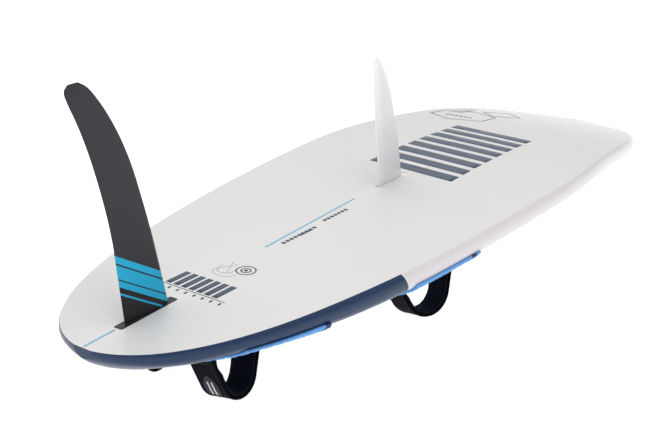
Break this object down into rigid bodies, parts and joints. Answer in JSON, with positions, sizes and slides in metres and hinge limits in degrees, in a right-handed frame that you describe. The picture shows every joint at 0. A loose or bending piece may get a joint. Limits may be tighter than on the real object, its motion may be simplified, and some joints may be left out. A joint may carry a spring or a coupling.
{
  "type": "windsurf board",
  "caption": "Freeride windsurf board stored deck down: sandwich hull with fin boxes and removable fins, four padded footstraps, deck pads, mast track and vent screw.",
  "frame": {"origin": "on the ground under the middle of the bounding box, with the board lying deck down", "axes": "+X to the nose, +Z out of the bottom (up as the board lies), Y across; the board is symmetric about the XZ plane"},
  "size_m": [2.516, 0.7904, 0.6899],
  "materials": {
    "core_foam": "matte",
    "bottom_laminate": "satin",
    "deck_laminate": "satin",
    "box_black": "satin",
    "fin_black": "satin",
    "box_white": "satin",
    "fin_white": "gloss",
    "brass": "satin",
    "stainless": "satin",
    "tray": "satin",
    "track_aluminium": "satin",
    "vent_plastic": "satin",
    "vent_membrane": "matte",
    "seal_rubber": "matte",
    "neoprene": "matte",
    "webbing": "matte",
    "strap_cover": "matte",
    "strap_plate": "satin",
    "insert_plastic": "matte",
    "eva_pad": "matte"
  },
  "bodies": {
    "board": {"foam_core": "core_foam", "bottom_skin": "bottom_laminate", "deck_skin": "deck_laminate", "main_fin_box": "box_black", "centre_fin_box": "box_white", "mast_track_box": "tray", "mast_track_channel": "track_aluminium", "vent_body": "vent_plastic", "vent_membrane": "vent_membrane", "strap_liner_rear_left": "neoprene", "strap_webbing_rear_left": "webbing", "strap_cover_rear_left": "strap_cover", "strap_plates_rear_left": "strap_plate", "strap_screws_rear_left": "stainless", "strap_inserts_rear_left": "insert_plastic", "deck_pad_rear_left": "eva_pad", "strap_liner_rear_right": "neoprene", "strap_webbing_rear_right": "webbing", "strap_cover_rear_right": "strap_cover", "strap_plates_rear_right": "strap_plate", "strap_screws_rear_right": "stainless", "strap_inserts_rear_right": "insert_plastic", "deck_pad_rear_right": "eva_pad", "strap_liner_front_left": "neoprene", "strap_webbing_front_left": "webbing", "strap_cover_front_left": "strap_cover", "strap_plates_front_left": "strap_plate", "strap_screws_front_left": "stainless", "strap_inserts_front_left": "insert_plastic", "deck_pad_front_left": "eva_pad", "strap_liner_front_right": "neoprene", "strap_webbing_front_right": "webbing", "strap_cover_front_right": "strap_cover", "strap_plates_front_right": "strap_plate", "strap_screws_front_right": "stainless", "strap_inserts_front_right": "insert_plastic", "deck_pad_front_right": "eva_pad"},
    "main_fin": {"main_fin_blade": "fin_black", "main_fin_head": "fin_black", "main_fin_nut": "brass"},
    "centre_fin": {"centre_fin_blade": "fin_white", "centre_fin_head": "fin_white", "centre_fin_nut": "brass"},
    "main_bolt": {"main_fin_bolt": "stainless", "main_fin_washer": "stainless"},
    "centre_bolt": {"centre_fin_bolt": "stainless", "centre_fin_washer": "stainless"},
    "vent_plug": {"vent_screw": "brass", "vent_seal": "seal_rubber"}
  },
  "joints": [
    {"name": "main_fin_pull", "type": "slide", "parent": "board", "child": "main_fin", "axis": [0, 0, 1], "range_m": [0, 0.07]},
    {"name": "centre_fin_pull", "type": "slide", "parent": "board", "child": "centre_fin", "axis": [0, 0, 1], "range_m": [0, 0.07]},
    {"name": "main_bolt_withdraw", "type": "slide", "parent": "board", "child": "main_bolt", "axis": [0, 0, -1], "range_m": [0, 0.045]},
    {"name": "centre_bolt_withdraw", "type": "slide", "parent": "board", "child": "centre_bolt", "axis": [0, 0, -1], "range_m": [0, 0.078]},
    {"name": "vent_turn", "type": "hinge", "parent": "board", "child": "vent_plug", "pos_m": [0.372, 0, 0.078], "axis": [0, 0, -1], "range_deg": [0, 720]}
  ]
}
